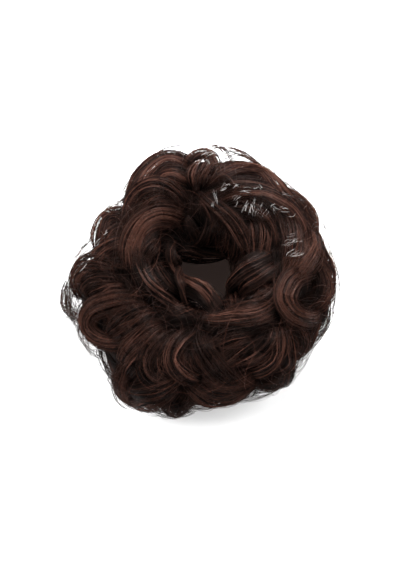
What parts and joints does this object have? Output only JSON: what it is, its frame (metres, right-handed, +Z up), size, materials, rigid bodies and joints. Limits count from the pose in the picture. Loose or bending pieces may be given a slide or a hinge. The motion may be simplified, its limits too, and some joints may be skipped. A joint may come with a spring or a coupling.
{
  "type": "hair scrunchie",
  "caption": "Messy bun hairpiece: wavy dark brown locks sewn in a ring round an elastic band, lying flat with an open hole in its middle.",
  "frame": {"origin": "centre of the outline's bounding box, on the surface that the hairpiece lies on", "axes": "+Z up out of the hole, +Y away from the viewer of the picture, +X to the picture's right"},
  "size_m": [0.1472, 0.152, 0.0565],
  "materials": {
    "hair": "fine wavy synthetic fibre, dark chestnut brown with auburn strands, soft sheen",
    "elastic": "black braided cover over a rubber core, matt"
  },
  "bodies": {
    "root": {"hair_curls": "hair", "elastic_band": "elastic"}
  },
  "joints": []
}
